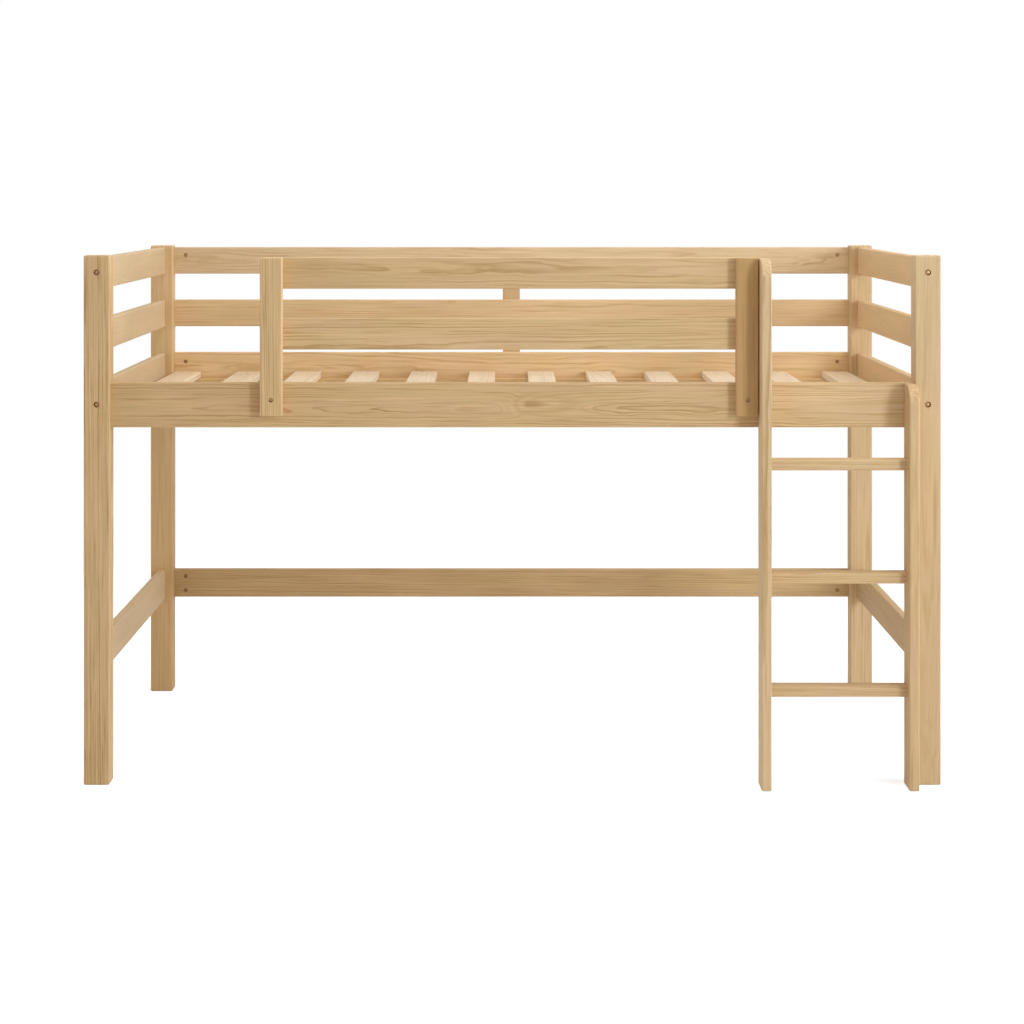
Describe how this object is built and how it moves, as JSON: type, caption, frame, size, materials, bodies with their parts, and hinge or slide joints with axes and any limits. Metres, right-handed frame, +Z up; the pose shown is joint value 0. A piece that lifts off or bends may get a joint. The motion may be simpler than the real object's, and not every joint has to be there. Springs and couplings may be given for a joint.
{
  "type": "loft bed",
  "caption": "Low loft bed in clear-finished pine with square posts, a slatted deck, rails on three sides, a front guard and a fixed upright ladder",
  "frame": {"origin": "on the floor, in the middle of the bed's outline, ladder and rear batten included", "axes": "+X along the bed towards the ladder end, +Y from the ladder side to the wall side, +Z up"},
  "size_m": [2, 1.1386, 1.235],
  "materials": {
    "pine_pale": "clear satin lacquer on pine",
    "pine_warm": "clear satin lacquer on warmer pine boards",
    "pine_slat": "planed pale pine",
    "bronzed_steel": "bronzed steel connector hardware"
  },
  "bodies": {
    "root": {"bolt_deck_rail_front_left": "bronzed_steel", "bolt_deck_rail_front_right": "bronzed_steel", "bolt_front_bed_left": "bronzed_steel", "bolt_front_bed_right": "bronzed_steel", "bolt_guard_left": "bronzed_steel", "bolt_guard_right": "bronzed_steel", "bolt_ladder_left": "bronzed_steel", "bolt_ladder_right": "bronzed_steel", "bolt_rear_bed_left": "bronzed_steel", "bolt_rear_bed_right": "bronzed_steel", "bolt_rear_stretcher_left_1": "bronzed_steel", "bolt_rear_stretcher_left_2": "bronzed_steel", "bolt_rear_stretcher_right_1": "bronzed_steel", "bolt_rear_stretcher_right_2": "bronzed_steel", "bolt_rear_top_left": "bronzed_steel", "bolt_rear_top_right": "bronzed_steel", "bolt_top_rail_front_left": "bronzed_steel", "bolt_top_rail_front_right": "bronzed_steel", "end_deck_rail_left": "pine_pale", "end_deck_rail_right": "pine_pale", "end_middle_rail_left": "pine_pale", "end_middle_rail_right": "pine_pale", "end_stretcher_left": "pine_pale", "end_stretcher_right": "pine_pale", "end_top_rail_left": "pine_pale", "end_top_rail_right": "pine_pale", "front_bed_rail": "pine_pale", "guard_lower_rail": "pine_pale", "guard_top_rail": "pine_pale", "guard_upright_left": "pine_pale", "guard_upright_right": "pine_pale", "ladder_rung_lower": "pine_pale", "ladder_rung_middle": "pine_pale", "ladder_rung_upper": "pine_pale", "ladder_stile_left": "pine_pale", "ladder_stile_right": "pine_pale", "post_front_left": "pine_pale", "post_front_right": "pine_pale", "post_rear_left": "pine_pale", "post_rear_right": "pine_pale", "rear_bed_rail": "pine_warm", "rear_centre_batten": "pine_warm", "rear_middle_rail": "pine_warm", "rear_stretcher": "pine_warm", "rear_top_rail": "pine_warm", "slat_01": "pine_slat", "slat_02": "pine_slat", "slat_03": "pine_slat", "slat_04": "pine_slat", "slat_05": "pine_slat", "slat_06": "pine_slat", "slat_07": "pine_slat", "slat_08": "pine_slat", "slat_09": "pine_slat", "slat_10": "pine_slat", "slat_11": "pine_slat", "slat_12": "pine_slat", "slat_ledger_front": "pine_warm", "slat_ledger_rear": "pine_warm"}
  },
  "joints": []
}
